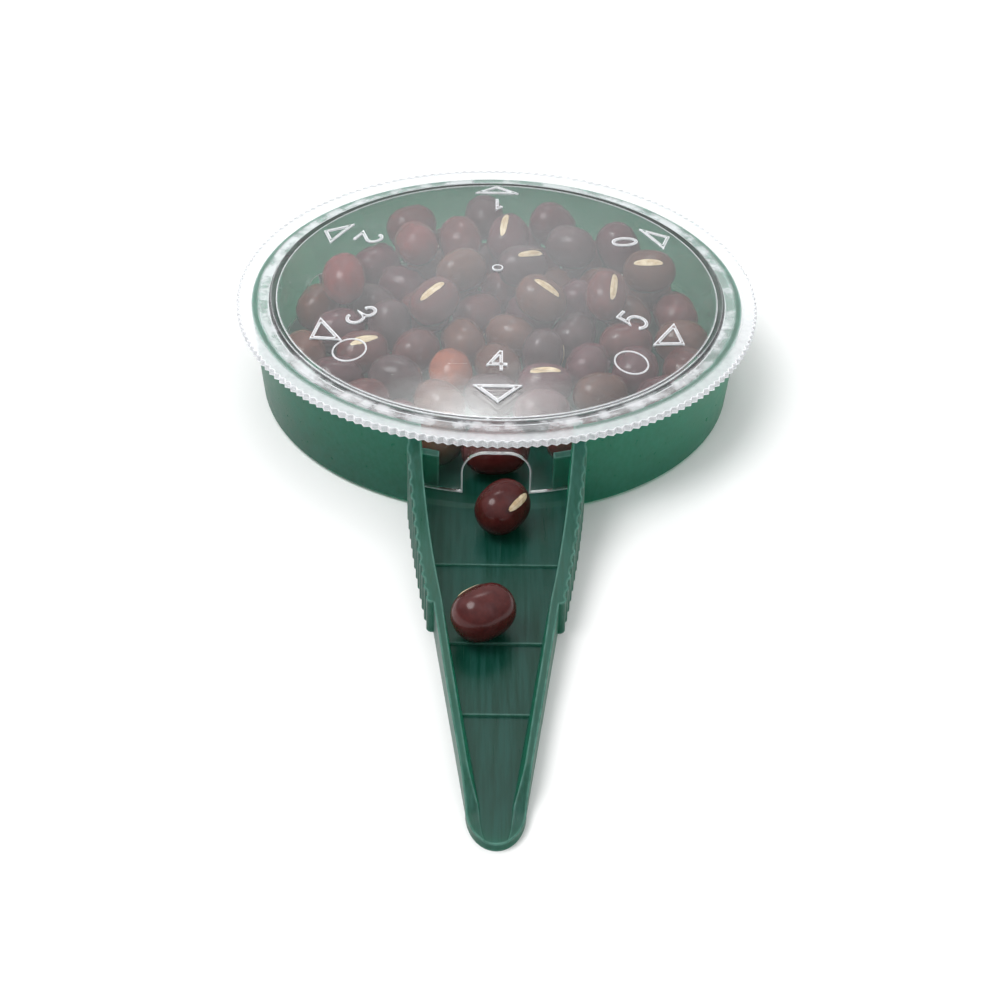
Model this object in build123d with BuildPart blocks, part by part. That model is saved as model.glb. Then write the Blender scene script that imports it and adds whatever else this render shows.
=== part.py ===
"""Hand-held dial seed sower: a green base with a chute, a clear numbered dial and a load of beans.

Frame, in millimetres: +Z is up, the sower rests on Z = 0, the dial turns about the Z axis and
the chute points along -Y. Number 4 stands at the chute in the rest position.
"""

import os
from itertools import product
from math import cos, hypot, radians, sin, sqrt
from random import Random

from build123d import *

os.makedirs("parts", exist_ok=True)

# ---------------------------------------------------------------- driving dimensions
DIAL_RADIUS = 35.0        # over the knurled flange
SOWER_HEIGHT = 17.0       # crown of the dome above the rest plane
CHUTE_TIP = 89.2          # from the dial's axis to the chute's tip

# cup
CUP_FOOT_RADIUS = 31.9    # outside, at the rest plane
CUP_RIM_RADIUS = 33.0     # outside, at the rim
CUP_RIM_HEIGHT = 12.35
CUP_WALL = 1.05
CUP_FLOOR = 2.0
CUP_HOLLOW_RADIUS = 31.05  # inside, at the floor
FOOT_CHAMFER = 0.5

# chute: half widths of its outline, and where along -Y each one stands
CHUTE_ROOT = (10.5, -31.0)
CHUTE_MIDDLE = (9.2, -42.5)
CHUTE_NECK = (7.4, -54.0)
CHUTE_END = (3.25, -84.0)
CHUTE_BACK = -25.0        # the outline starts this far inside the cup
TIP_LENGTH = CHUTE_TIP + CHUTE_END[1]
CHUTE_WALL_FOOT = 1.5     # thickness of the side wall at the lowest tread
CHUTE_WALL_DRAFT = (0.04, 0.08, 0.125, 0.375)  # how much it thins per millimetre, at each half width
CHUTE_CUT_TOP = 13.0
CHUTE_CUT_OVERRUN = 1.3   # the channel runs out through the tip by this much
BEYOND_TIP = -CHUTE_TIP - CHUTE_CUT_OVERRUN
TREADS = ((CHUTE_BACK, 1.9), (-44.4, 1.62), (-58.4, 1.34), (-70.1, 1.05))  # (start, height)
SILL_TOP_RADIUS = 32.4    # the cup's floor slopes down to the chute from here
SILL_FOOT_RADIUS = 33.4
WALL_TOP = ((-37.0, 8.6), (-44.0, 6.3), (-54.0, 4.7), (-66.0, 3.6), (-77.0, 3.15))  # (y, z)
WALL_TOP_START = (-0.45, -1.0)  # which way the wall's top leaves the cup, as (y, z)
WALL_TOP_FINISH = (-1.0, -0.02)  # and which way it reaches the end of its crest
LIP = ((-80.0, 2.95), (-82.3, 2.1), (-84.0, 1.45), (-86.5, 1.12))  # the top from the crest to the tip

# finger grips
GRIP_PAD = 0.5
GRIP_PAD_DEPTH = 1.4
GRIP_RIB_RADIUS = 0.7
GRIP_RIB_SINK = 0.45      # how far a rib's axis lies inside the pad's face
GRIP_RIB_PITCH = 1.9

# guide tabs inside the dial's skirt
TAB_INNER_RADIUS = 27.9
TAB_OUTER_RADIUS = 29.1
TAB_MIDDLE = 8.5          # distance of each tab's middle from the chute's centre line
TAB_WIDTH = 2.8
TAB_TOP = 6.6

# dial
RIM_GAP = 0.15            # between the cup's rim and the flange
FLANGE_THICKNESS = 0.9
FLANGE_BOTTOM = CUP_RIM_HEIGHT + RIM_GAP
FLANGE_TOP = FLANGE_BOTTOM + FLANGE_THICKNESS
KNURL_TEETH = 180
KNURL_DEPTH = 0.4
DOME_RADIUS = 30.4        # where the dome meets the flange
DOME_STEP = 0.4           # how far the dome's edge stands above the flange
DOME_EDGE = FLANGE_TOP + DOME_STEP
DOME_CROWN = SOWER_HEIGHT - DOME_EDGE
DOME_SPHERE = (DOME_RADIUS**2 + DOME_CROWN**2) / (2 * DOME_CROWN)
DOME_THICKNESS = 1.1
SKIRT_OUTER_RADIUS = 30.7
SKIRT_INNER_RADIUS = 29.6
SKIRT_BOTTOM = 2.3
NUB_RADIUS = 0.75
NUB_HEIGHT = 0.3

# gates in the skirt: (dial number, width, height); number 0 is closed
GATES = ((1, 2.4, 2.4), (2, 4.4, 3.6), (3, 6.4, 4.9), (4, 8.4, 6.2), (5, 9.6, 7.6))
GATE_CORNER = 0.36        # corner radius at a gate's top, as a share of its width
NUMBER_COUNT = 6
NUMBER_AT_REST = 4
CHUTE_DIRECTION = 270.0   # degrees from +X

# raised marks on the dome
MARK_RISE = 0.25
MARK_SINK = 0.4
MARK_STROKE = 0.42
DIGIT_RADIUS = 20.4
DIGIT_HEIGHT = 3.6        # along the middle of the strokes
DIGIT_WIDTH = 2.2
POINTER_RADIUS = 26.4
POINTER_BASE = 5.2
POINTER_HEIGHT = 2.6
PIN_MARK_RADIUS = 25.5
PIN_MARK_ANGLES = (222.0, 312.0)
PIN_MARK_SIZE = 2.05
PIN_MARK_STROKE = 0.2

# beans
BEAN_LENGTH = 7.6         # of a bean of the load
BEAN_SLIMNESS = 0.816     # a bean's width as a share of its length
BEAN_WIDTH = BEAN_SLIMNESS * BEAN_LENGTH
BALL_RADIUS = 3.2         # the load is settled as pairs of balls, each pair holding one bean
BALL_SPREAD = 0.65        # from a bean's middle to each of its balls
BEANS_IN_LOAD = 66
BEANS_ON_FLOOR = 47       # the rest lie on top of them, heaped towards the back of the hopper
HEAP_MIDDLE = (0.0, 15.0)
HEAP_SPREAD = (24.0, 12.0)
BEAN_PITCH = 12.0         # degrees, the spread of a bean's first pitch
WALL_GAP = 0.25           # least gap left between a bean and a wall
SETTLING_STEPS = 420
SETTLING_DROP = 0.12      # how far a bean falls in one step
SETTLING_SEED = 7
# the single beans: (middle in plan, height of the floor under it, heading in degrees, length)
GATE_BEAN = ((-0.1, -25.5), CUP_FLOOR, 8.0, 8.8)
FIRST_TREAD_BEAN = ((0.8, -37.2), TREADS[0][1], 58.0, 8.0)
SECOND_TREAD_BEAN = ((-1.5, -56.9), TREADS[1][1], 38.0, 8.1)


def polar(radius, angle):
    """The point in plan at a radius and an angle in degrees."""
    return (radius * cos(radians(angle)), radius * sin(radians(angle)))


def number_angle(number):
    """Where a dial number stands at rest, in degrees from +X."""
    return CHUTE_DIRECTION + (number - NUMBER_AT_REST) * 360 / NUMBER_COUNT


def sphere_height(radius, lift):
    """Height at a radius of the dome's sphere, lifted by lift."""
    return SOWER_HEIGHT + lift - DOME_SPHERE + sqrt(DOME_SPHERE**2 - radius**2)


# ---------------------------------------------------------------- base
def chute_outline(insets, height, tip_length):
    """The chute's plan as a sketch at a height, narrowed by an inset at each of its half widths."""
    half_widths = (CHUTE_ROOT, CHUTE_MIDDLE, CHUTE_NECK, CHUTE_END)
    root, middle, neck, end = [(x - inset, y) for (x, y), inset in zip(half_widths, insets)]
    with BuildSketch(Plane.XY.offset(height)) as outline:
        with BuildLine():
            Polyline((0, CHUTE_BACK), (root[0], CHUTE_BACK), root)
            ThreePointArc(root, middle, neck)
            Line(neck, end)
            EllipticalCenterArc((0, CHUTE_END[1]), end[0], tip_length, start_angle=270, arc_size=90)
            mirror(about=Plane.YZ)
        make_face()
    return outline.sketch


def channel_outline(height):
    """The plan of the space between the side walls at a height."""
    rise = height - TREADS[-1][1]
    insets = [CHUTE_WALL_FOOT - draft * rise for draft in CHUTE_WALL_DRAFT]
    return chute_outline(insets, height, TIP_LENGTH + CHUTE_CUT_OVERRUN)


with BuildPart() as space_above_walls:
    with BuildSketch(Plane.YZ):
        with BuildLine():
            wall_root = (CHUTE_ROOT[1] - 1, CUP_RIM_HEIGHT)
            high = CUP_RIM_HEIGHT + SOWER_HEIGHT
            Spline(wall_root, *WALL_TOP, tangents=(WALL_TOP_START, WALL_TOP_FINISH))
            Spline(WALL_TOP[-1], *LIP, tangents=(WALL_TOP_FINISH, WALL_TOP_FINISH))
            Polyline(
                LIP[-1],
                (BEYOND_TIP, LIP[-1][1]),
                (BEYOND_TIP, high),
                (CHUTE_BACK, high),
                (CHUTE_BACK, CUP_RIM_HEIGHT),
                wall_root,
            )
        make_face()
    extrude(amount=2 * CHUTE_ROOT[0], both=True)

with BuildPart() as grips:
    with BuildSketch():
        with BuildLine():
            pad_root, pad_middle, pad_neck = [
                (x + GRIP_PAD, y) for x, y in (CHUTE_ROOT, CHUTE_MIDDLE, CHUTE_NECK)
            ]
            pad_face = ThreePointArc(pad_root, pad_middle, pad_neck)
            Polyline(
                pad_neck,
                (pad_neck[0] - GRIP_PAD_DEPTH, pad_neck[1]),
                (pad_root[0] - GRIP_PAD_DEPTH, pad_root[1]),
                pad_root,
            )
        make_face()
        rib_count = int(pad_face.length / GRIP_RIB_PITCH)
        ribs = [pad_face @ ((i + 1) / rib_count) for i in range(rib_count)]
        with Locations(*[(rib.X - GRIP_RIB_SINK, rib.Y) for rib in ribs]):
            Circle(GRIP_RIB_RADIUS)
    extrude(amount=CUP_RIM_HEIGHT)
    mirror(about=Plane.YZ)

with BuildPart() as chute_block:
    extrude(chute_outline((0, 0, 0, 0), 0, TIP_LENGTH), amount=CUP_RIM_HEIGHT)
    add(grips.part)
    add(space_above_walls.part, mode=Mode.SUBTRACT)

with BuildPart() as sill:
    with BuildSketch(Plane.XZ):
        with BuildLine():
            Polyline(
                (0, 0),
                (SILL_FOOT_RADIUS, 0),
                (SILL_FOOT_RADIUS, TREADS[0][1]),
                (SILL_TOP_RADIUS, CUP_FLOOR),
                (0, CUP_FLOOR),
                close=True,
            )
        make_face()
    revolve(axis=Axis.Z)

with BuildPart() as channel:
    loft(
        channel_outline(TREADS[-1][1]).faces() + channel_outline(CHUTE_CUT_TOP).faces(),
        ruled=True,
    )
    with BuildSketch(Plane.YZ):
        with BuildLine():
            stairs = [TREADS[0]]
            for (_, height), (next_start, next_height) in zip(TREADS, TREADS[1:]):
                stairs += [(next_start, height), (next_start, next_height)]
            stairs += [(BEYOND_TIP, TREADS[-1][1]), (BEYOND_TIP, CHUTE_CUT_TOP), (CHUTE_BACK, CHUTE_CUT_TOP)]
            Polyline(*stairs, close=True)
        make_face()
    extrude(amount=2 * CHUTE_ROOT[0], both=True, mode=Mode.INTERSECT)
    add(sill.part, mode=Mode.SUBTRACT)

with BuildPart() as cup_hollow:
    with BuildSketch(Plane.XY.offset(CUP_FLOOR)):
        Circle(CUP_HOLLOW_RADIUS)
    extrude(amount=CUP_RIM_HEIGHT)

with BuildPart() as base:
    with BuildSketch(Plane.XZ):
        with BuildLine():
            Polyline(
                (0, 0),
                (CUP_FOOT_RADIUS - FOOT_CHAMFER, 0),
                (CUP_FOOT_RADIUS, FOOT_CHAMFER),
                (CUP_RIM_RADIUS, CUP_RIM_HEIGHT),
                (CUP_RIM_RADIUS - CUP_WALL, CUP_RIM_HEIGHT),
                (CUP_HOLLOW_RADIUS, CUP_FLOOR),
                (0, CUP_FLOOR),
                close=True,
            )
        make_face()
    revolve(axis=Axis.Z)
    add(chute_block.part)
    add(cup_hollow.part, mode=Mode.SUBTRACT)
    add(channel.part, mode=Mode.SUBTRACT)
    with BuildSketch(Plane.XY.offset(CUP_FLOOR)):
        with Locations(*[(side * TAB_MIDDLE, -TAB_OUTER_RADIUS) for side in (-1, 1)]):
            Rectangle(TAB_WIDTH, TAB_OUTER_RADIUS)
        Circle(TAB_OUTER_RADIUS, mode=Mode.INTERSECT)
        Circle(TAB_INNER_RADIUS, mode=Mode.SUBTRACT)
    extrude(amount=TAB_TOP - CUP_FLOOR)

base.part.label = "base"
export_step(base.part, "parts/base.step")


# ---------------------------------------------------------------- dial
def dome_cap(lift):
    """Everything inside the dome's radius from the flange up to the dome's sphere, lifted by lift."""
    edge = (DOME_RADIUS, sphere_height(DOME_RADIUS, lift))
    shoulder = (DOME_RADIUS / 2, sphere_height(DOME_RADIUS / 2, lift))
    crown = (0, sphere_height(0, lift))
    with BuildPart() as cap:
        with BuildSketch(Plane.XZ):
            with BuildLine():
                ThreePointArc(edge, shoulder, crown)
                Polyline(crown, (0, FLANGE_BOTTOM), (DOME_RADIUS, FLANGE_BOTTOM), edge)
            make_face()
        revolve(axis=Axis.Z)
    return cap.part


def digit(number):
    """A dial number drawn with one even stroke, centred on the origin."""
    right, top = DIGIT_WIDTH / 2, DIGIT_HEIGHT / 2
    with BuildSketch() as glyph:
        with BuildLine():
            if number == 0:
                EllipticalCenterArc((0, 0), 0.9 * right, top, start_angle=0, arc_size=360)
            elif number == 1:
                Polyline((-0.6 * right, 0.55 * top), (0, top), (0, -top))
            elif number == 2:
                ThreePointArc((-right, 0.5 * top), (0, top), (right, 0.45 * top))
                Polyline((right, 0.45 * top), (0.8 * right, 0.1 * top), (-right, -top), (right, -top))
            elif number == 3:
                ThreePointArc((-right, 0.6 * top), (0.3 * right, top), (0, 0.1 * top))
                ThreePointArc((0, 0.1 * top), (0.9 * right, -0.6 * top), (-right, -0.7 * top))
            elif number == 4:
                Polyline((0.4 * right, top), (-right, -0.4 * top), (1.1 * right, -0.4 * top))
            else:
                Polyline((0.8 * right, top), (-0.7 * right, top), (-0.9 * right, 0.1 * top))
                ThreePointArc((-0.9 * right, 0.1 * top), (right, -0.35 * top), (-right, -0.8 * top))
        trace(line_width=MARK_STROKE)
        if number == 4:  # its upright crosses the bar, and a line that crosses itself can't be traced
            with Locations((0.4 * right, 0)):
                Rectangle(MARK_STROKE, DIGIT_HEIGHT)
    return glyph.sketch


def pointer():
    """The outline of a triangle whose apex points away from the dial's middle."""
    half_base, half_height = POINTER_BASE / 2, POINTER_HEIGHT / 2
    with BuildSketch() as triangle:
        with BuildLine():
            Polyline((-half_base, half_height), (0, -half_height), (half_base, half_height), close=True)
        trace(line_width=MARK_STROKE)
    return triangle.sketch


def marks_plan(height):
    """The plan of the digits and pointers, each turned so that its top is towards the middle."""
    with BuildSketch(Plane.XY.offset(height)) as marks:
        for number in range(NUMBER_COUNT):
            angle = number_angle(number)
            turn = angle - CHUTE_DIRECTION
            with Locations(Location((*polar(DIGIT_RADIUS, angle), 0), turn)):
                add(digit(number))
            with Locations(Location((*polar(POINTER_RADIUS, angle), 0), turn)):
                add(pointer())
    return marks.sketch


with BuildPart() as raised_marks:
    extrude(marks_plan(FLANGE_TOP), amount=SOWER_HEIGHT)
    add(dome_cap(MARK_RISE), mode=Mode.INTERSECT)
    add(dome_cap(-MARK_SINK), mode=Mode.SUBTRACT)

with BuildPart() as pin_marks:
    with BuildSketch(Plane.XY.offset(FLANGE_TOP)):
        with Locations(*[polar(PIN_MARK_RADIUS, angle) for angle in PIN_MARK_ANGLES]):
            Circle(PIN_MARK_SIZE + PIN_MARK_STROKE)
            Circle(PIN_MARK_SIZE, mode=Mode.SUBTRACT)
    extrude(amount=SOWER_HEIGHT)
    add(dome_cap(PIN_MARK_STROKE / 2), mode=Mode.INTERSECT)
    add(dome_cap(-MARK_SINK), mode=Mode.SUBTRACT)

with BuildPart() as flange:
    with BuildSketch(Plane.XY.offset(FLANGE_BOTTOM)):
        with BuildLine():
            half_pitch = 180 / KNURL_TEETH
            tips_and_roots = [DIAL_RADIUS, DIAL_RADIUS - KNURL_DEPTH] * KNURL_TEETH
            Polyline(*[polar(r, i * half_pitch) for i, r in enumerate(tips_and_roots)], close=True)
        make_face()
        Circle(SKIRT_INNER_RADIUS, mode=Mode.SUBTRACT)
    extrude(amount=FLANGE_THICKNESS)

with BuildPart() as gates:
    for number, width, height in GATES:
        outward = (*polar(1, number_angle(number)), 0)
        along_rim = (*polar(1, number_angle(number) + 90), 0)
        with BuildSketch(Plane((0, 0, SKIRT_BOTTOM), x_dir=along_rim, z_dir=outward)):
            Rectangle(width, height, align=(Align.CENTER, Align.MIN))
            fillet(vertices().group_by(Axis.Y)[-1], GATE_CORNER * width)
        extrude(amount=DIAL_RADIUS)

with BuildPart() as dial:
    with BuildSketch(Plane.XZ):
        with BuildLine():
            inner_edge = (SKIRT_INNER_RADIUS, sphere_height(SKIRT_INNER_RADIUS, -DOME_THICKNESS))
            outer_shoulder = (DOME_RADIUS / 2, sphere_height(DOME_RADIUS / 2, 0))
            inner_shoulder = (DOME_RADIUS / 2, sphere_height(DOME_RADIUS / 2, -DOME_THICKNESS))
            ThreePointArc((0, SOWER_HEIGHT), outer_shoulder, (DOME_RADIUS, DOME_EDGE))
            Polyline(
                (DOME_RADIUS, DOME_EDGE),
                (SKIRT_OUTER_RADIUS, FLANGE_TOP),
                (SKIRT_OUTER_RADIUS, SKIRT_BOTTOM),
                (SKIRT_INNER_RADIUS, SKIRT_BOTTOM),
                inner_edge,
            )
            ThreePointArc(inner_edge, inner_shoulder, (0, SOWER_HEIGHT - DOME_THICKNESS))
            Line((0, SOWER_HEIGHT - DOME_THICKNESS), (0, SOWER_HEIGHT))
        make_face()
    revolve(axis=Axis.Z)
    add(flange.part)
    add(gates.part, mode=Mode.SUBTRACT)
    add(raised_marks.part)
    add(pin_marks.part)
    with BuildSketch(Plane.XY.offset(SOWER_HEIGHT - MARK_SINK)):
        Circle(NUB_RADIUS)
    extrude(amount=NUB_HEIGHT + MARK_SINK)

dial.part.label = "dial"
export_step(dial.part, "parts/dial.step")


# ---------------------------------------------------------------- beans
def lay_down(bean):
    """The two ball centres of a single bean that lies on a floor."""
    (x, y), floor, heading, length = bean
    reach = polar(BALL_SPREAD, heading)
    height = floor + BEAN_SLIMNESS * length / 2 + WALL_GAP / 2
    return [[x - reach[0], y - reach[1], height], [x + reach[0], y + reach[1], height]]


def keep_inside(ball):
    """Push a ball back inside the hopper: off the floor, the skirt, the tabs and the dome."""
    x, y, z = ball
    at_tabs = y < 0 and abs(x) < TAB_MIDDLE + TAB_WIDTH
    reach = (TAB_INNER_RADIUS if at_tabs else SKIRT_INNER_RADIUS) - BALL_RADIUS - WALL_GAP
    radius = hypot(x, y)
    if radius > reach:
        ball[0], ball[1] = x * reach / radius, y * reach / radius
    ceiling = sphere_height(min(radius, reach), -DOME_THICKNESS - BALL_RADIUS - WALL_GAP)
    ball[2] = min(max(z, CUP_FLOOR + BALL_RADIUS), ceiling)


def push_apart(first, second, least, share):
    """Move two balls apart to a least distance; share is how much of it the first one moves."""
    gap = [b - a for a, b in zip(first, second)]
    distance = sqrt(sum(g * g for g in gap))
    if distance < least:
        excess = (least - distance) / distance
        for axis, g in enumerate(gap):
            first[axis] -= share * excess * g
            second[axis] += (1 - share) * excess * g


def hold_pair(low, high):
    """Bring a bean's two balls back to their fixed distance."""
    middle = [(a + b) / 2 for a, b in zip(low, high)]
    half = [(b - a) / 2 for a, b in zip(low, high)]
    stretch = BALL_SPREAD / sqrt(sum(h * h for h in half))
    for axis in range(3):
        low[axis] = middle[axis] - stretch * half[axis]
        high[axis] = middle[axis] + stretch * half[axis]


def drop_bean(chance, index):
    """The first place of one bean of the load: on the floor, or over the heap."""
    if index < BEANS_ON_FLOOR:
        x, y = polar((SKIRT_INNER_RADIUS - BEAN_LENGTH / 2) * sqrt(chance.random()), chance.uniform(0, 360))
        z = CUP_FLOOR + BEAN_WIDTH / 2
    else:
        x, y = [chance.gauss(middle, spread / 2) for middle, spread in zip(HEAP_MIDDLE, HEAP_SPREAD)]
        z = CUP_FLOOR + 3 * BEAN_WIDTH / 2
    heading, pitch = chance.uniform(0, 360), radians(chance.gauss(0, BEAN_PITCH))
    reach = (*polar(BALL_SPREAD * cos(pitch), heading), BALL_SPREAD * sin(pitch))
    return [[m - r for m, r in zip((x, y, z), reach)], [m + r for m, r in zip((x, y, z), reach)]]


def settle_load():
    """Let the load fall into the hopper around the bean in the gate; returns pairs of balls."""
    chance = Random(SETTLING_SEED)
    waiting = lay_down(GATE_BEAN)
    waiting_reach = BALL_RADIUS * (1 + GATE_BEAN[-1] / BEAN_LENGTH)
    load = [drop_bean(chance, index) for index in range(BEANS_IN_LOAD)]
    for step in range(SETTLING_STEPS):
        fall = SETTLING_DROP * (1 - step / SETTLING_STEPS)
        for index, pair in enumerate(load):
            for ball in pair:
                ball[2] -= fall
            for other in load[index + 1:]:
                if max(abs(a - b) for a, b in zip(pair[0], other[0])) < 2 * BEAN_LENGTH:
                    for ball, neighbour in product(pair, other):
                        push_apart(ball, neighbour, 2 * BALL_RADIUS, 0.5)
            for ball, fixed in product(pair, waiting):
                push_apart(ball, list(fixed), waiting_reach, 1.0)
            hold_pair(*pair)
            for ball in pair:
                keep_inside(ball)
    return load


def place_of(pair):
    """The location of a bean: its middle, with X along its length."""
    low, high = pair
    middle = [(a + b) / 2 for a, b in zip(low, high)]
    along = [b - a for a, b in zip(low, high)]
    return Plane(middle, x_dir=along, z_dir=Vector(*along).cross(Vector(0, 1, 0))).location


def lay_beans(name, pairs, length):
    """Export beans of one length, one for each pair of balls, as a node."""
    width = BEAN_SLIMNESS * length
    with BuildPart() as one_bean:
        with BuildSketch(Plane.XZ):
            with BuildLine():
                EllipticalCenterArc((0, 0), length / 2, width / 2, start_angle=0, arc_size=180)
                Line((-length / 2, 0), (length / 2, 0))
            make_face()
        revolve(axis=Axis.X)
    with BuildPart() as beans:
        with Locations(*[place_of(pair) for pair in pairs]):
            add(one_bean.part)
    beans.part.label = name
    export_step(beans.part, f"parts/{name}.step")


lay_beans("bean_load", settle_load(), BEAN_LENGTH)
lay_beans("bean_in_gate", [lay_down(GATE_BEAN)], GATE_BEAN[-1])
lay_beans("bean_past_gate", [lay_down(FIRST_TREAD_BEAN)], FIRST_TREAD_BEAN[-1])
lay_beans("bean_on_chute", [lay_down(SECOND_TREAD_BEAN)], SECOND_TREAD_BEAN[-1])
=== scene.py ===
"""Looks of the dial seed sower: green moulded base, clear dial and a load of dark red beans."""

from math import cos, radians, sin
from random import Random

import bmesh
import bpy
from mathutils import Matrix, Quaternion, Vector


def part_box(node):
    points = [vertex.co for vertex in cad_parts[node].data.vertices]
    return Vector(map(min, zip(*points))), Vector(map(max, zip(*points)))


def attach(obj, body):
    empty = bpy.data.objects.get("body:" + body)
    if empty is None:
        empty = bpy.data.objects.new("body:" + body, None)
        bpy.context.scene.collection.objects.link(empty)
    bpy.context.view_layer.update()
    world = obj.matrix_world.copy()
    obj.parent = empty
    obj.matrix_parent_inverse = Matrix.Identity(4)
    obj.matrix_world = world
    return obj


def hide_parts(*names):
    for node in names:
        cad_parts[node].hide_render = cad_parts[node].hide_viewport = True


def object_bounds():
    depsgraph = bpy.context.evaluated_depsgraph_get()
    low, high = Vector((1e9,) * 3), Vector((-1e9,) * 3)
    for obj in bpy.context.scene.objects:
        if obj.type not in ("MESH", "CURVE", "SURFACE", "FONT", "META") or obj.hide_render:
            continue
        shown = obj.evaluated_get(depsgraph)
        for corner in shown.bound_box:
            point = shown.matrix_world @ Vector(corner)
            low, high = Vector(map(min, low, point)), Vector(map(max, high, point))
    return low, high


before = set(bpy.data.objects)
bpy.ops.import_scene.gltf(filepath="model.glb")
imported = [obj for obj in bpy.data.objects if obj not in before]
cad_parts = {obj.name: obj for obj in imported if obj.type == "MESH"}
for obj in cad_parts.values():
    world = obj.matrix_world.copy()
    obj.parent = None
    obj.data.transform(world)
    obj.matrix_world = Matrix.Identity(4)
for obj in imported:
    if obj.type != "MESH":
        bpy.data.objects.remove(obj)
cad_low, cad_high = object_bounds()

MM = 0.001

dial_low, dial_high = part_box("dial")
dial_radius = (dial_high.x - dial_low.x) / 2
dial_height = dial_high.z - dial_low.z

# camera: where it aims, beside the middle of the sower's foot, and how it looks there
AIM_SHIFT = Vector((0.6, -1.7, 0)) * MM
VIEW_DISTANCE = 255.3 * MM
VIEW_ELEVATION = radians(37.04)
VIEW_HEADING = radians(1.1)
VIEW_ROLL = radians(1.55)
LENS = 72.0
SENSOR = 36.0
NEAREST, FARTHEST = 0.01, 20.0  # what the camera draws, in metres from it

# light: an even surround, a softbox to the left and one behind that the dome mirrors to the viewer
WORLD_STRENGTH = (0.30, 0.92)  # at the horizon and overhead
OVERHEAD_FROM = 0.75           # the surround is at full strength above this height of a view direction
KEY_DIRECTION = Vector((-0.44, -0.15, 0.88))
KEY_SIZE = (0.34, 0.34)
KEY_POWER = 2.1
GLARE_DIRECTION = Vector((-0.04, 0.49, 0.87))
GLARE_SIZE = (0.50, 0.27)
GLARE_POWER = 2.4
GLARE_FADE = 2.2               # how steeply it fades from its middle to its edge
SOFTBOX_DISTANCE = 0.64
FLOOR_SIZE = 6.0

# green plastic: its tones, then the light that comes through it
GREEN_DEEP = (0.0025, 0.034, 0.023, 1)
GREEN_PALER = (0.004, 0.046, 0.032, 1)
GREEN_FLOW_MARK = (0.014, 0.072, 0.060, 1)
GREEN_SCRATCHED = (0.06, 0.15, 0.125, 1)
# painted highlight: a lighter green along outward edges, with some rubbed wear in it
GREEN_RUBBED_AND_HIGHLIGHT = (0.11, 0.25, 0.215, 1)
GREEN_GLOW = (0.06, 0.80, 0.50, 1)
GREEN_WAY_OUT = (0.5, 1.0, 0.8, 1)
GLOW_SHARE = (0.10, 0.17)      # where the moulding is solid, and in the cup's thin wall
# where the cup's thin wall starts and ends, as shares of the dial's radius
CUP_WALL_IN = (0.870, 0.885)
CUP_WALL_OUT = (0.965, 0.950)

# clear plastic: its tints and its milky white, which also paints highlights along outward edges
CLEAR_TINT = (0.97, 0.985, 0.98, 1)
CLEAR_SHADOW = (0.90, 0.92, 0.92, 1)
HAZE_AND_HIGHLIGHT_TONE = (0.86, 0.87, 0.90, 1)
MILKINESS = (0.010, 0.055)     # the haze's share of the surface at the rim and in the middle
MILKY_FROM, MILKY_FULL = 0.85, 0.25  # between these shares of the dial's radius
# where the flange turns from clear to frosted, as shares of the dial's radius
FROST_START = 0.935
FROST_FULL = 0.955
FLANGE_START = 0.665           # the flange's underside, as a share of the dial's height
GROOVE_IN = (0.870, 0.882)     # the frosted streaks in the groove beside the dome, partly scuffs and partly a painted highlight band, fade in between these shares
GROOVE_OUT = (0.925, 0.912)    # and out between these

# beans: their shape, where lengths and girths are shares of the CAD solid's length
BEAN_CUTS = 15                 # edge loops across each side of the ball that a bean is shaped from
BEAN_SEED = 4
BEAN_LENGTH = 0.985
BEAN_GIRTH = 0.806
THINNEST = (0.95, 0.93)        # the least share of that girth that a bean has across and through it
BLUNTNESS = (0.10, 0.22)
MOST_LEAN = 0.05               # how much thicker one end of a bean is than its middle, at most
HILUM_SIDE_CUT = 0.05          # how much flatter a bean is on its hilum side
HILUM_LENGTH = 4.1 * MM
HILUM_WIDTH = 1.0 * MM
HILUM_RISE = 0.12 * MM
NEARLY_ALONG = 0.2             # a hilum can't face along its bean, nor within this of it

# beans: their colours
COATS = {                      # seed coat colours, and how many shares of the load each one has
    "maroon": ((0.075, 0.013, 0.012), 7),
    "brown": ((0.085, 0.028, 0.017), 5),
    "dusk": ((0.048, 0.020, 0.022), 5),
    "plum": ((0.065, 0.015, 0.020), 4),
    "red": ((0.130, 0.020, 0.019), 0),
    "rust": ((0.240, 0.060, 0.026), 0),
}
TONE_RANGE = (0.85, 1.15)      # how much darker or lighter than its colour a coat may be
COAT_DARKER = (0.75, 0.70, 0.75)  # the coat's mottling, as factors on its colour
COAT_LIGHTER = (1.15, 1.2, 1.2)
DRY_SMUDGE = (0.10, 0.07, 0.08, 1)
HILUM_BORDER = (0.018, 0.008, 0.008, 1)
HILUM_DARKER = (0.52, 0.38, 0.22, 1)
HILUM_LIGHTER = (0.74, 0.62, 0.44, 1)
HILUM_SLIT = (0.30, 0.19, 0.09, 1)

# where beans of a rare colour lie in the load, and where beans turn their hilum to the viewer,
# as shares of the dial's radius
RARE_COATS = (
    ((-0.37, 0.40), "red"), ((-0.17, -0.29), "rust"), ((-0.74, 0.29), "red"), ((0.0, 0.0), "brown"),
)
SHOWN_HILA = (
    (-0.37, 0.06), (-0.13, 0.09), (0.05, 0.26), (0.60, 0.46), (0.51, 0.24),
    (0.43, -0.09), (0.20, -0.24), (0.0, 0.63), (-0.60, -0.05), (0.24, 0.10),
)
# the single beans: where each one turns its hilum, and its coat
SINGLE_BEANS = {
    "bean_in_gate": (Vector((0.2, 0.3, -1)), "maroon"),
    "bean_past_gate": (Vector((0.80, -0.50, 0.72)), "maroon"),
    "bean_on_chute": (Vector((-0.49, 0.63, 0.62)), "maroon"),
}


# ---------------------------------------------------------------- node helpers
def feed(tree, socket, value):
    """Give a socket a value, or link another node's output to it."""
    if isinstance(value, bpy.types.NodeSocket):
        tree.links.new(value, socket)
    else:
        socket.default_value = value


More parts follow.
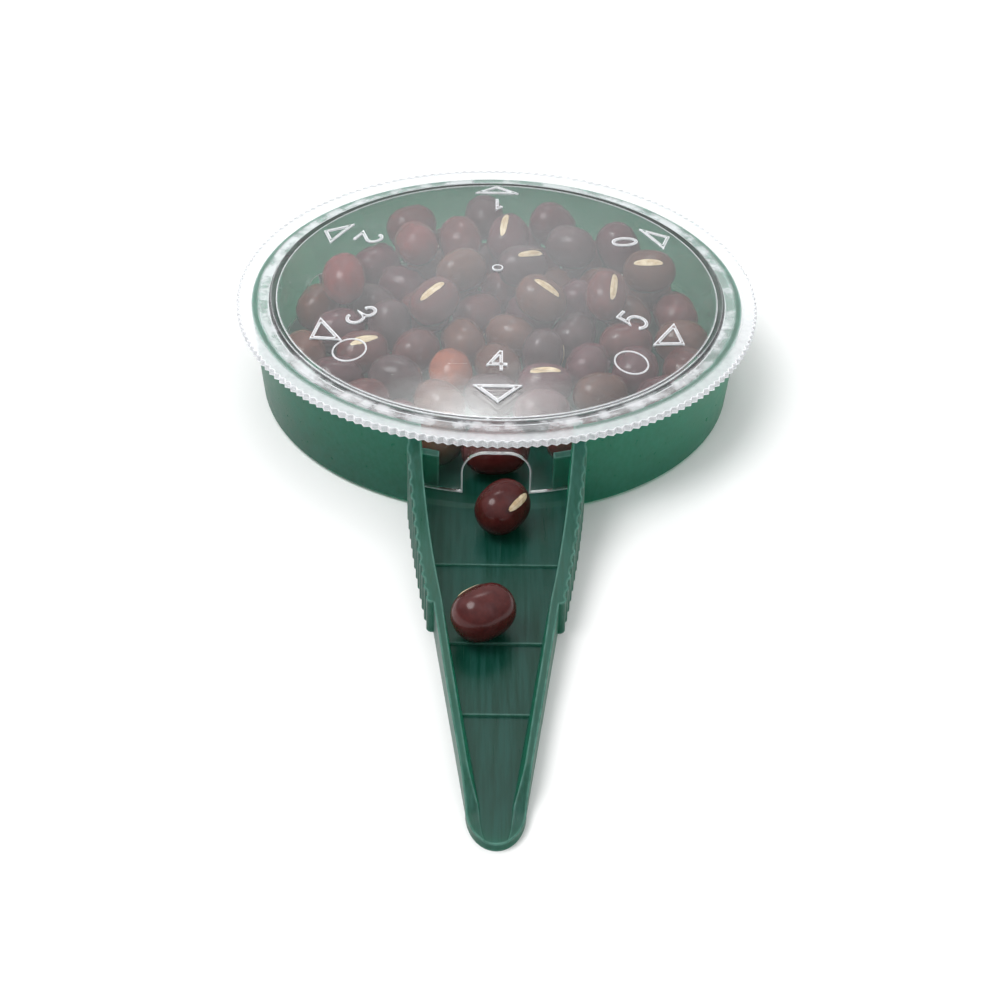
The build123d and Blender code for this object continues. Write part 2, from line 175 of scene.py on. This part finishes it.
def node(tree, kind, inputs=None, **settings):
    """Add a shader node; inputs maps a socket's name or number to a value or to another node's output."""
    made = tree.nodes.new("ShaderNode" + kind)
    for key, value in settings.items():
        setattr(made, key, value)
    for key, value in (inputs or {}).items():
        feed(tree, made.inputs[key], value)
    return made


def new_material(name):
    """An empty node material and its tree."""
    material = bpy.data.materials.new(name)
    material.use_nodes = True
    material.node_tree.nodes.clear()
    return material, material.node_tree


def show(tree, shader):
    """Send a shader to the material's surface."""
    node(tree, "OutputMaterial", {"Surface": shader})


def compute(tree, operation, first, second=0.0):
    """The output of a Math node."""
    return node(tree, "Math", {0: first, 1: second}, operation=operation).outputs[0]


def times(tree, first, second):
    """Two values multiplied."""
    return compute(tree, "MULTIPLY", first, second)


def stretch(tree, points, scale):
    """Coordinates scaled along each axis."""
    return node(tree, "Mapping", {"Vector": points, "Scale": scale}).outputs[0]


def noise(tree, points, scale, detail=4.0, roughness=0.55):
    """Noise from 0 to 1 over the given coordinates; scale is how many of its blots fit in a metre."""
    settings = {"Vector": points, "Scale": scale, "Detail": detail, "Roughness": roughness}
    return node(tree, "TexNoise", settings).outputs[0]


def remap(tree, value, low, high, new_low=0.0, new_high=1.0):
    """Value moved from one range to another, held inside it."""
    inputs = {"Value": value, "From Min": low, "From Max": high, "To Min": new_low, "To Max": new_high}
    return node(tree, "MapRange", inputs).outputs[0]


def blend_colour(tree, share, first, second):
    """The first colour with a share of the second one over it."""
    made = node(tree, "Mix", data_type="RGBA")
    for name, value in {"Factor": share, "A": first, "B": second}.items():
        feed(tree, next(s for s in made.inputs if s.name == name and s.enabled), value)
    return next(s for s in made.outputs if s.enabled)


def bump(tree, height, distance, normal=None):
    """A normal bumped by a height from 0 to 1 over a distance in metres."""
    inputs = {"Height": height, "Distance": distance}
    if normal is not None:
        inputs["Normal"] = normal
    return node(tree, "Bump", inputs).outputs[0]


def outer_edges(tree, reach, low, high):
    """1 along outward edges and 0 on open faces: how soon a ray into the solid leaves it again."""
    inward = node(tree, "AmbientOcclusion", {"Distance": reach}, samples=8, inside=True, only_local=True)
    return remap(tree, inward.outputs["AO"], high, low)


def radius_share(tree, points):
    """Distance from the dial's axis, as a share of the dial's radius."""
    flat_points = stretch(tree, points, (1.0, 1.0, 0.0))
    radius = node(tree, "VectorMath", {0: flat_points}, operation="LENGTH").outputs["Value"]
    return compute(tree, "DIVIDE", radius, dial_radius)


# ---------------------------------------------------------------- materials
def green_plastic():
    """Moulded green polypropylene: flow marks along the chute, fine scratches, and outward edges painted
    lighter, partly as rubbed wear and partly as a painted highlight.
    """
    material, tree = new_material("green_plastic")
    points = node(tree, "TexCoord").outputs["Object"]
    mottle = noise(tree, points, 90, detail=3)
    flow = noise(tree, stretch(tree, points, (1.0, 0.05, 0.6)), 1500, detail=6, roughness=0.65)
    scratch = noise(tree, stretch(tree, points, (1.0, 0.018, 1.0)), 3600, detail=2)
    scratch = remap(tree, scratch, 0.66, 0.74)
    grain = noise(tree, points, 5200, detail=3)
    edges = outer_edges(tree, 0.3 * MM, 0.74, 0.97)
    # outward edges painted a lighter green: a painted edge highlight, varied by a wear-like noise
    rubbed = times(tree, edges, remap(tree, noise(tree, points, 700), 0.35, 0.65, 0.45, 1.0))

    colour = blend_colour(tree, remap(tree, mottle, 0.3, 0.7), GREEN_DEEP, GREEN_PALER)
    colour = blend_colour(tree, remap(tree, flow, 0.42, 0.60, 0.0, 0.7), colour, GREEN_FLOW_MARK)
    colour = blend_colour(tree, times(tree, scratch, 0.2), colour, GREEN_SCRATCHED)
    colour = blend_colour(tree, times(tree, rubbed, 0.7), colour, GREEN_RUBBED_AND_HIGHLIGHT)

    roughness = remap(tree, flow, 0.3, 0.75, 0.26, 0.42)
    roughness = compute(tree, "ADD", roughness, times(tree, scratch, 0.12))
    rounded = node(tree, "Bevel", {"Radius": 0.18 * MM}, samples=6).outputs[0]
    normal = bump(tree, grain, 0.006 * MM, rounded)
    normal = bump(tree, flow, 0.03 * MM, normal)
    normal = bump(tree, scratch, -0.008 * MM, normal)
    plastic = node(tree, "BsdfPrincipled", {
        "Base Color": colour,
        "Roughness": roughness,
        "IOR": 1.49,
        "Specular IOR Level": 0.3,
        "Normal": normal,
    })
    glow = node(tree, "BsdfTranslucent", {"Color": GREEN_GLOW})
    share = radius_share(tree, points)
    thin_wall = times(tree, remap(tree, share, *CUP_WALL_IN), remap(tree, share, *CUP_WALL_OUT))
    glow_share = remap(tree, thin_wall, 0.0, 1.0, *GLOW_SHARE)
    lit_wall = node(tree, "MixShader", {0: glow_share, 1: plastic.outputs[0], 2: glow.outputs[0]})
    way_out = node(tree, "BsdfTransparent", {"Color": GREEN_WAY_OUT})
    behind = node(tree, "NewGeometry").outputs["Backfacing"]
    surface = node(tree, "MixShader", {0: behind, 1: lit_wall.outputs[0], 2: way_out.outputs[0]})
    show(tree, surface.outputs[0])
    return material


def clear_plastic():
    """Clear moulded polystyrene: hair scratches, dust, a frosted rim, and outward edges whitened as a
    painted highlight; light passes it.
    """
    material, tree = new_material("clear_plastic")
    points = node(tree, "TexCoord").outputs["Object"]
    ripple = noise(tree, points, 130, detail=2)
    hair = noise(tree, stretch(tree, points, (1.0, 0.03, 1.0)), 2600, detail=2)
    cross_hair = noise(tree, stretch(tree, points, (0.03, 1.0, 1.0)), 2600, detail=2)
    hairs = compute(tree, "MAXIMUM", remap(tree, hair, 0.70, 0.77), remap(tree, cross_hair, 0.71, 0.78))
    dust = node(tree, "TexVoronoi", {"Vector": points, "Scale": 900}).outputs["Distance"]
    dust = remap(tree, dust, 0.10, 0.05)
    rubbed = remap(tree, noise(tree, points, 220), 0.45, 0.75)

    share = radius_share(tree, points)
    rim = remap(tree, share, FROST_START, FROST_FULL)
    edges = outer_edges(tree, 0.32 * MM, 0.68, 0.95)
    # streaks in the groove beside the dome: partly scuffs, partly a painted highlight band
    streaks = remap(tree, noise(tree, points, 350, detail=3), 0.42, 0.6, 0.12, 0.5)
    groove = times(tree, remap(tree, share, *GROOVE_IN), remap(tree, share, *GROOVE_OUT))
    groove = times(tree, groove, streaks)
    height = node(tree, "SeparateXYZ", {0: points}).outputs["Z"]
    flange_low = dial_low.z + FLANGE_START * dial_height
    groove = times(tree, groove, remap(tree, height, flange_low, flange_low + 0.2 * MM))
    # the rim's real frosting, and milky white along outward edges that paints their bright lines as
    # highlights
    frost_and_highlight = compute(tree, "MAXIMUM", times(tree, rim, 0.4), times(tree, edges, 0.9))
    frost_and_highlight = times(tree, frost_and_highlight, remap(tree, noise(tree, points, 900), 0.3, 0.6, 0.8, 1.0))
    frost_and_highlight = compute(tree, "MAXIMUM", frost_and_highlight, groove)

    roughness = compute(tree, "ADD", times(tree, hairs, 0.1), times(tree, frost_and_highlight, 0.22))
    normal = bump(tree, ripple, 0.05 * MM)
    normal = bump(tree, hairs, -0.004 * MM, normal)
    plastic = node(tree, "BsdfPrincipled", {
        "Base Color": CLEAR_TINT,
        "Roughness": roughness,
        "IOR": 1.55,
        "Transmission Weight": 1.0,
        "Normal": normal,
    })
    haze_and_highlight = node(tree, "BsdfDiffuse", {"Color": HAZE_AND_HIGHLIGHT_TONE})
    milkiness = remap(tree, share, MILKY_FROM, MILKY_FULL, *MILKINESS)
    milkiness = compute(tree, "ADD", milkiness, times(tree, rubbed, 0.012))
    haze_and_highlight_share = compute(tree, "ADD", milkiness, times(tree, dust, 0.25))
    haze_and_highlight_share = compute(tree, "MAXIMUM", haze_and_highlight_share, frost_and_highlight)
    hazy_and_highlit = node(tree, "MixShader", {0: haze_and_highlight_share, 1: plastic.outputs[0], 2: haze_and_highlight.outputs[0]})
    lit_through = node(tree, "BsdfTransparent", {"Color": CLEAR_SHADOW})
    shadow_ray = node(tree, "LightPath").outputs["Is Shadow Ray"]
    surface = node(tree, "MixShader", {0: shadow_ray, 1: hazy_and_highlit.outputs[0], 2: lit_through.outputs[0]})
    show(tree, surface.outputs[0])
    return material


def bean_coat():
    """Smooth seed coat with fine mottling, dry smudges and a cream hilum."""
    material, tree = new_material("bean_coat")
    own_place = node(tree, "Attribute", attribute_name="own_place").outputs["Vector"]
    coat = node(tree, "Attribute", attribute_name="coat").outputs["Color"]
    points = node(tree, "TexCoord").outputs["Object"]
    along, across, up = node(tree, "SeparateXYZ", {0: own_place}).outputs
    ragged = remap(tree, noise(tree, points, 2600), 0.3, 0.7, -0.10, 0.10)

    reach = compute(tree, "ABSOLUTE", compute(tree, "DIVIDE", along, HILUM_LENGTH / 2))
    side = compute(tree, "ABSOLUTE", compute(tree, "DIVIDE", across, HILUM_WIDTH / 2))
    ring = compute(tree, "ADD", compute(tree, "POWER", reach, 2.6), compute(tree, "POWER", side, 2.0))
    ring = compute(tree, "ADD", ring, ragged)
    on_top = remap(tree, up, 0.0, 0.5 * MM)
    hilum = times(tree, remap(tree, ring, 1.06, 0.90), on_top)
    border = times(tree, remap(tree, ring, 1.9, 1.1), on_top)
    slit = times(tree, remap(tree, side, 0.16, 0.05), hilum)

    mottle = noise(tree, points, 900, detail=3)
    smudge = remap(tree, noise(tree, points, 420, detail=3), 0.52, 0.72)
    darker = node(tree, "VectorMath", {0: coat, 1: COAT_DARKER}, operation="MULTIPLY").outputs[0]
    lighter = node(tree, "VectorMath", {0: coat, 1: COAT_LIGHTER}, operation="MULTIPLY").outputs[0]
    colour = blend_colour(tree, remap(tree, mottle, 0.32, 0.68), darker, lighter)
    colour = blend_colour(tree, times(tree, smudge, 0.18), colour, DRY_SMUDGE)
    colour = blend_colour(tree, times(tree, border, 0.6), colour, HILUM_BORDER)
    cream = blend_colour(tree, remap(tree, mottle, 0.4, 0.65), HILUM_DARKER, HILUM_LIGHTER)
    colour = blend_colour(tree, hilum, colour, cream)
    colour = blend_colour(tree, times(tree, slit, 0.35), colour, HILUM_SLIT)

    roughness = remap(tree, mottle, 0.3, 0.7, 0.14, 0.22)
    roughness = compute(tree, "ADD", roughness, times(tree, hilum, 0.4))
    normal = bump(tree, noise(tree, points, 380, detail=2), 0.05 * MM)
    seed = node(tree, "BsdfPrincipled", {
        "Base Color": colour,
        "Roughness": roughness,
        "IOR": 1.45,
        "Specular IOR Level": 0.38,
        "Normal": normal,
    })
    show(tree, seed.outputs[0])
    return material


def floor_white():
    """Plain white studio table."""
    material, tree = new_material("floor_white")
    points = node(tree, "TexCoord").outputs["Object"]
    tone = remap(tree, noise(tree, points, 3), 0.3, 0.7, 0.90, 0.92)
    colour = node(tree, "CombineColor", {0: tone, 1: tone, 2: tone}).outputs[0]
    show(tree, node(tree, "BsdfDiffuse", {"Color": colour}).outputs[0])
    return material


# ---------------------------------------------------------------- beans
def loose_beans(node_name):
    """The place of each bean of a CAD node: its middle, the direction of its length, and half its length."""
    mesh = bmesh.new()
    mesh.from_mesh(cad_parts[node_name].data)
    bmesh.ops.remove_doubles(mesh, verts=mesh.verts, dist=1e-6)
    seen, places = set(), []
    for start in mesh.verts:
        if start in seen:
            continue
        island, waiting = [], [start]
        seen.add(start)
        while waiting:
            vertex = waiting.pop()
            island.append(vertex.co.copy())
            for edge in vertex.link_edges:
                other = edge.other_vert(vertex)
                if other not in seen:
                    seen.add(other)
                    waiting.append(other)
        middle = (Vector(map(min, zip(*island))) + Vector(map(max, zip(*island)))) / 2
        far = max(island, key=lambda point: (point - middle).length)
        places.append((middle, (far - middle).normalized(), (far - middle).length))
    mesh.free()
    return places


def bean_ball():
    """Points of a unit ball with even faces, and those faces."""
    mesh = bmesh.new()
    bmesh.ops.create_cube(mesh, size=2)
    bmesh.ops.subdivide_edges(mesh, edges=mesh.edges, cuts=BEAN_CUTS, use_grid_fill=True)
    points = [vertex.co.normalized() for vertex in mesh.verts]
    mesh.verts.index_update()
    faces = [[vertex.index for vertex in face.verts] for face in mesh.faces]
    mesh.free()
    return points, faces


def shape_bean(points, half_length, chance):
    """A bean in its own frame: X along it, Z out through its hilum; blunt ends and a flatter hilum side."""
    width = BEAN_GIRTH * half_length * chance.uniform(THINNEST[0], 1.0)
    depth = BEAN_GIRTH * half_length * chance.uniform(THINNEST[1], 1.0)
    blunt = chance.uniform(*BLUNTNESS)
    lean = chance.uniform(-MOST_LEAN, MOST_LEAN)
    shaped = []
    for p in points:
        swell = 1 + blunt * (p.x * p.x) * (p.y * p.y + p.z * p.z)
        x = half_length * BEAN_LENGTH * p.x * (1 + 0.3 * blunt * (1 - p.x * p.x))
        y = width * p.y * swell * (1 + lean * p.x)
        z = depth * p.z * swell * (1 - lean * p.x)
        ridge = 0.0
        if p.z > 0:
            z *= 1 - HILUM_SIDE_CUT * p.z * p.z
            ridge = max(0.0, 1 - (2 * x / HILUM_LENGTH) ** 4 - (2 * y / HILUM_WIDTH) ** 2)
        shaped.append(Vector((x, y, z + HILUM_RISE * ridge ** 0.5)))
    return shaped


def turned(middle, along, facing):
    """The matrix of a bean whose length is along, with its hilum turned as far as it can be to facing."""
    out = facing - facing.dot(along) * along
    if out.length < NEARLY_ALONG:
        out = Vector((-along.z, along.x, along.y)).cross(along)
    out.normalize()
    side = out.cross(along)
    return Matrix.Translation(middle) @ Matrix((along, side, out)).transposed().to_4x4()


def any_coat(chance):
    """A common seed coat, by the shares in COATS."""
    return chance.choice([name for name, (_, share) in COATS.items() for _ in range(share)])


def top_bean(places, spot):
    """Number of the upper bean nearest to a spot given as shares of the dial's radius."""
    target = dial_radius * Vector(spot)
    return min(range(len(places)), key=lambda i: (places[i][0].xy - target).length - places[i][0].z)


def load_looks(places, chance):
    """Looks of the load: most hila are turned down; beans near set spots show theirs or have a rare coat."""
    looks = []
    for _ in places:
        turned_down = Vector((chance.gauss(0, 1), chance.gauss(0.5, 0.5), chance.uniform(-1, -0.3)))
        looks.append((turned_down, any_coat(chance)))
    for spot in SHOWN_HILA:
        number = top_bean(places, spot)
        turned_up = Vector((chance.gauss(0, 0.35), chance.gauss(-0.35, 0.25), 1))
        looks[number] = (turned_up, looks[number][1])
    for spot, coat in RARE_COATS:
        number = top_bean(places, spot)
        looks[number] = (looks[number][0], coat)
    return looks


def make_beans(node_name, places, looks, material, chance):
    """One mesh of all the beans of a CAD node; looks holds each bean's hilum direction and its coat."""
    unit_points, unit_faces = bean_ball()
    points, faces, own, coats = [], [], [], []
    for (middle, along, half_length), (facing, coat) in zip(places, looks):
        place = turned(middle, along, facing)
        tone = chance.uniform(*TONE_RANGE)
        colour = [channel * tone for channel in COATS[coat][0]] + [1.0]
        first = len(points)
        for p in shape_bean(unit_points, half_length, chance):
            points.append(place @ p)
            own.append(p)
            coats.append(colour)
        faces += [[first + index for index in face] for face in unit_faces]
    mesh = bpy.data.meshes.new(f"{node_name}_seeds")
    mesh.from_pydata(points, [], faces)
    mesh.shade_smooth()
    own_place = mesh.attributes.new("own_place", "FLOAT_VECTOR", "POINT")
    own_place.data.foreach_set("vector", [value for p in own for value in p])
    coat_colour = mesh.attributes.new("coat", "FLOAT_COLOR", "POINT")
    coat_colour.data.foreach_set("color", [value for colour in coats for value in colour])
    mesh.materials.append(material)
    beans = bpy.data.objects.new(f"{node_name}_seeds", mesh)
    bpy.context.scene.collection.objects.link(beans)
    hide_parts(node_name)
    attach(beans, "base")


# ---------------------------------------------------------------- stage
def place_camera():
    """A camera at the sower's front, looking down at it."""
    aim = Vector(((cad_low.x + cad_high.x) / 2, (cad_low.y + cad_high.y) / 2, cad_low.z)) + AIM_SHIFT
    forward = Vector((
        sin(VIEW_HEADING) * cos(VIEW_ELEVATION),
        cos(VIEW_HEADING) * cos(VIEW_ELEVATION),
        -sin(VIEW_ELEVATION),
    ))
    data = bpy.data.cameras.new("camera")
    data.sensor_width = SENSOR
    data.lens = LENS
    data.clip_start = NEAREST
    data.clip_end = FARTHEST
    camera = bpy.data.objects.new("camera", data)
    bpy.context.scene.collection.objects.link(camera)
    camera.location = aim - VIEW_DISTANCE * forward
    camera.rotation_mode = "QUATERNION"
    roll = Quaternion((0, 0, 1), VIEW_ROLL)
    camera.rotation_quaternion = forward.to_track_quat("-Z", "Y") @ roll
    bpy.context.scene.camera = camera


def add_softbox(name, direction, size, power):
    """An oval area light that faces the sower."""
    data = bpy.data.lights.new(name, "AREA")
    data.shape = "ELLIPSE"
    data.size, data.size_y = size
    data.energy = power
    softbox = bpy.data.objects.new(name, data)
    bpy.context.scene.collection.objects.link(softbox)
    softbox.location = SOFTBOX_DISTANCE * direction.normalized()
    softbox.rotation_mode = "QUATERNION"
    softbox.rotation_quaternion = (-direction).to_track_quat("-Z", "Y")
    return data


def fade_softbox(light):
    """Let a softbox fade from its middle to its edge, so that no hard edge shows in the dome."""
    light.use_nodes = True
    tree = light.node_tree
    tree.nodes.clear()
    place = node(tree, "NewGeometry").outputs["Parametric"]
    middle = (0.5, 0.5, 0.0)
    from_middle = node(tree, "VectorMath", {0: place, 1: middle}, operation="DISTANCE").outputs["Value"]
    strength = compute(tree, "POWER", remap(tree, from_middle, 0.5, 0.0), GLARE_FADE)
    emission = node(tree, "Emission", {"Strength": strength})
    node(tree, "OutputLight", {"Surface": emission.outputs[0]})


def light_studio():
    """A white surround that is brightest overhead, a key softbox and a fading one behind."""
    world = bpy.data.worlds.new("studio")
    world.use_nodes = True
    tree = world.node_tree
    tree.nodes.clear()
    height = node(tree, "SeparateXYZ", {0: node(tree, "TexCoord").outputs["Generated"]}).outputs["Z"]
    strength = remap(tree, height, 0.0, OVERHEAD_FROM, *WORLD_STRENGTH)
    surround = node(tree, "Background", {"Color": (1, 1, 1, 1), "Strength": strength})
    node(tree, "OutputWorld", {"Surface": surround.outputs[0]})
    bpy.context.scene.world = world
    add_softbox("key_softbox", KEY_DIRECTION, KEY_SIZE, KEY_POWER)
    fade_softbox(add_softbox("glare_softbox", GLARE_DIRECTION, GLARE_SIZE, GLARE_POWER))


def lay_floor():
    """The table that the sower rests on."""
    half = FLOOR_SIZE / 2
    corners = [(-half, -half, 0), (half, -half, 0), (half, half, 0), (-half, half, 0)]
    mesh = bpy.data.meshes.new("floor")
    mesh.from_pydata(corners, [], [(0, 1, 2, 3)])
    mesh.materials.append(floor_white())
    floor = bpy.data.objects.new("floor", mesh)
    bpy.context.scene.collection.objects.link(floor)
    floor.location.z = cad_low.z


bpy.context.scene.view_settings.view_transform = "Standard"
place_camera()
light_studio()
lay_floor()

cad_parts["base"].material_slots[0].material = green_plastic()
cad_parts["dial"].material_slots[0].material = clear_plastic()

chance = Random(BEAN_SEED)
coat_material = bean_coat()
load_places = loose_beans("bean_load")
make_beans("bean_load", load_places, load_looks(load_places, chance), coat_material, chance)
for node_name, look in SINGLE_BEANS.items():
    make_beans(node_name, loose_beans(node_name), [look], coat_material, chance)
